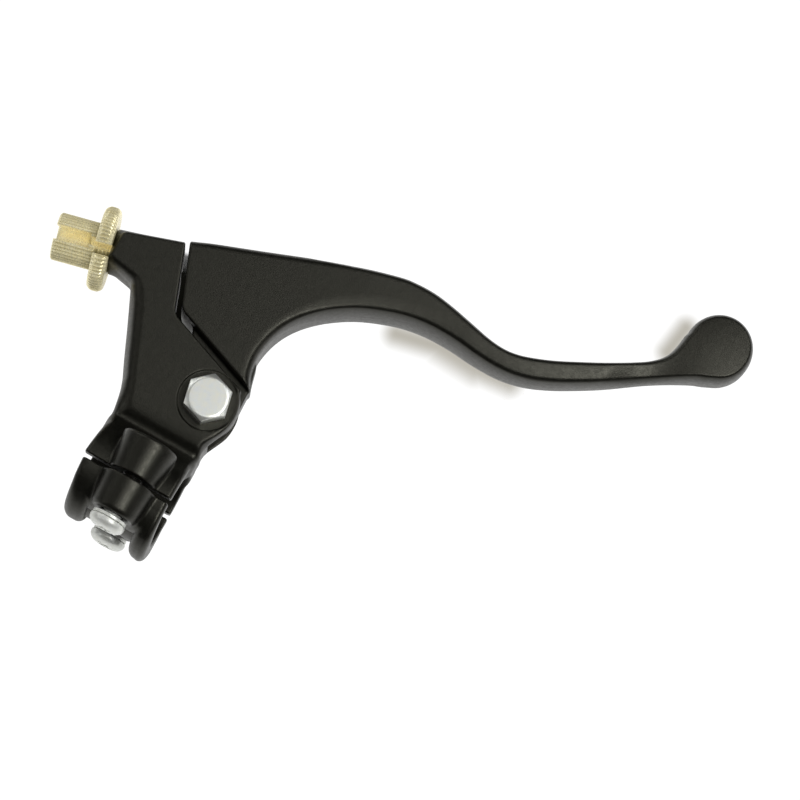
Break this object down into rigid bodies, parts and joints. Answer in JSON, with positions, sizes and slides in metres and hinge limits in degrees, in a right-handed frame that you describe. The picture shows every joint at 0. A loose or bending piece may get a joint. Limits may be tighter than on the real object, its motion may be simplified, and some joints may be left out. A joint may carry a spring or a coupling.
{
  "type": "motorcycle clutch lever",
  "caption": "Short clutch lever on a split bar-clamp bracket, with a hex pivot bolt, a slotted brass cable adjuster and its lock wheel.",
  "frame": {"origin": "on the handlebar's axis, in the plane of the two clamp screws", "axes": "+X along the handlebar towards the lever's tip, +Y from the bar to the lever's pivot, +Z along the pivot bolt towards its head"},
  "size_m": [0.1874, 0.1396, 0.0462],
  "materials": {
    "painted_casting": "satin black paint on cast aluminium, fine grain",
    "zinc_screw": "bright zinc plate",
    "zinc_bolt": "zinc plate, faint turned rings",
    "brass": "pale machined brass, knurled",
    "bush_bronze": "sintered bronze",
    "nylon": "white nylon"
  },
  "bodies": {
    "perch": {"perch_body": "painted_casting", "clamp_cap": "painted_casting", "clamp_screws": "zinc_screw", "clamp_lock_washers": "zinc_screw", "pivot_bolt": "zinc_bolt", "pivot_nut": "zinc_bolt", "nut_nylon_ring": "nylon", "pivot_nut_washer": "zinc_bolt"},
    "lever": {"lever": "painted_casting", "pivot_bush": "bush_bronze"},
    "lock_wheel": {"adjuster_lock_wheel": "brass"},
    "adjuster": {"cable_adjuster": "brass"}
  },
  "joints": [
    {"name": "lever_pivot", "type": "hinge", "parent": "perch", "child": "lever", "pos_m": [0.0071, 0.0304, 0], "axis": [0, 0, -1], "range_deg": [-1.5, 35]},
    {"name": "lock_wheel_turn", "type": "hinge", "parent": "perch", "child": "lock_wheel", "pos_m": [-0.0371, 0.055, 0], "axis": [-0.9703, -0.2419, 0], "range_deg": [0, 2160]},
    {"name": "adjuster_travel", "type": "slide", "parent": "lock_wheel", "child": "adjuster", "axis": [-0.9703, -0.2419, 0], "range_m": [0, 0.0076]}
  ],
  "couplings": [
    {"joint": "adjuster_travel", "follows": "lock_wheel_turn", "m_per_rad": 0.00019894}
  ]
}
